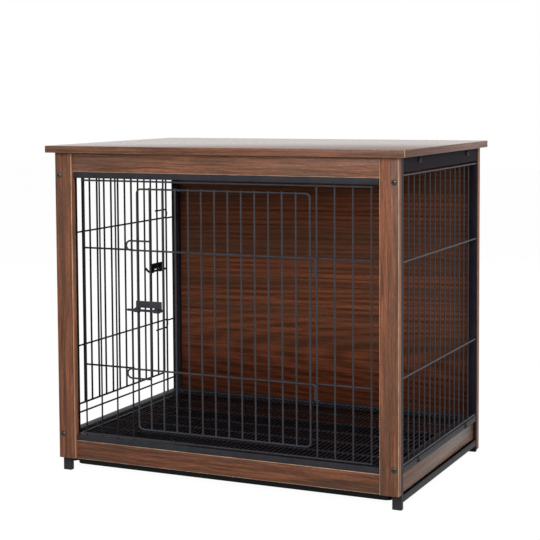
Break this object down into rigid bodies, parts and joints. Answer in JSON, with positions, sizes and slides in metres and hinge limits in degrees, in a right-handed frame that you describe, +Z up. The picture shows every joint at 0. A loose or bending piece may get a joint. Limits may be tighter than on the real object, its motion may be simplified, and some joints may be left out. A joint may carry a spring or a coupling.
{
  "type": "wooden dog crate",
  "caption": "Dog crate made as an end table: dark walnut boards on a black steel frame, wire walls, a wire door with slide bolt on the front and the left, floor grate over a pull-out tray.",
  "frame": {"origin": "on the floor, under the middle of the table top", "axes": "+X to the right along the length, +Y from the front to the back panel, +Z up"},
  "size_m": [0.82, 0.563, 0.714],
  "materials": {
    "walnut_board": "satin walnut laminate",
    "dowel_wood": "bare beech",
    "black_steel": "satin black powder coat",
    "screw_steel": "dark zinc plated",
    "cap_plastic": "moulded black",
    "tray_plastic": "glossy black"
  },
  "bodies": {
    "crate": {"back_panel": "walnut_board", "back_panel_screws": "screw_steel", "bar_tongues": "black_steel", "bottom_rail": "walnut_board", "floor_grate_frame": "black_steel", "floor_grate_wires": "black_steel", "foot_caps": "cap_plastic", "front_floor_bar": "black_steel", "front_header_wire": "black_steel", "front_sill_wire": "black_steel", "front_top_bar": "black_steel", "front_wires_left": "black_steel", "front_wires_right": "black_steel", "grate_bearer_left": "black_steel", "grate_bearer_right": "black_steel", "kick_panel_left": "walnut_board", "kick_panel_right": "walnut_board", "leg_front_left": "black_steel", "leg_front_right": "black_steel", "leg_rear_left": "black_steel", "leg_rear_right": "black_steel", "rail_dowels": "dowel_wood", "rear_floor_bar": "black_steel", "right_wire_panel": "black_steel", "side_floor_bar_left": "black_steel", "side_floor_bar_right": "black_steel", "side_floor_bolts": "black_steel", "side_floor_nuts": "screw_steel", "side_header_wire": "black_steel", "side_post_front": "black_steel", "side_post_rear": "black_steel", "side_sill_wire": "black_steel", "side_top_bolts": "black_steel", "side_top_cleat_left": "walnut_board", "side_top_cleat_right": "walnut_board", "side_top_plate_left": "black_steel", "side_top_plate_right": "black_steel", "stile_left": "walnut_board", "stile_right": "walnut_board", "stile_screws": "screw_steel", "table_screws": "screw_steel", "table_top": "walnut_board", "top_rail": "walnut_board", "tray_runner_left": "black_steel", "tray_runner_right": "black_steel"},
    "front_leaf": {"front_door": "black_steel", "front_latch_bracket": "black_steel"},
    "front_bolt": {"front_latch_bolt": "black_steel"},
    "side_leaf": {"side_door": "black_steel", "side_latch_bracket": "black_steel"},
    "side_bolt": {"side_latch_bolt": "black_steel"},
    "tray": {"waste_tray": "tray_plastic"}
  },
  "joints": [
    {"name": "front_door_hinge", "type": "hinge", "parent": "crate", "child": "front_leaf", "pos_m": [0.21375, -0.253, 0.366], "axis": [0, 0, 1], "range_deg": [0, 120]},
    {"name": "front_bolt_slide", "type": "slide", "parent": "front_leaf", "child": "front_bolt", "axis": [1, 0, 0], "range_m": [0, 0.025]},
    {"name": "side_door_hinge", "type": "hinge", "parent": "crate", "child": "side_leaf", "pos_m": [-0.391, -0.2085, 0.39], "axis": [0, 0, 1], "range_deg": [0, 120]},
    {"name": "side_bolt_slide", "type": "slide", "parent": "side_leaf", "child": "side_bolt", "axis": [0, -1, 0], "range_m": [0, 0.025]},
    {"name": "tray_slide", "type": "slide", "parent": "crate", "child": "tray", "axis": [0, -1, 0], "range_m": [0, 0.4]}
  ]
}
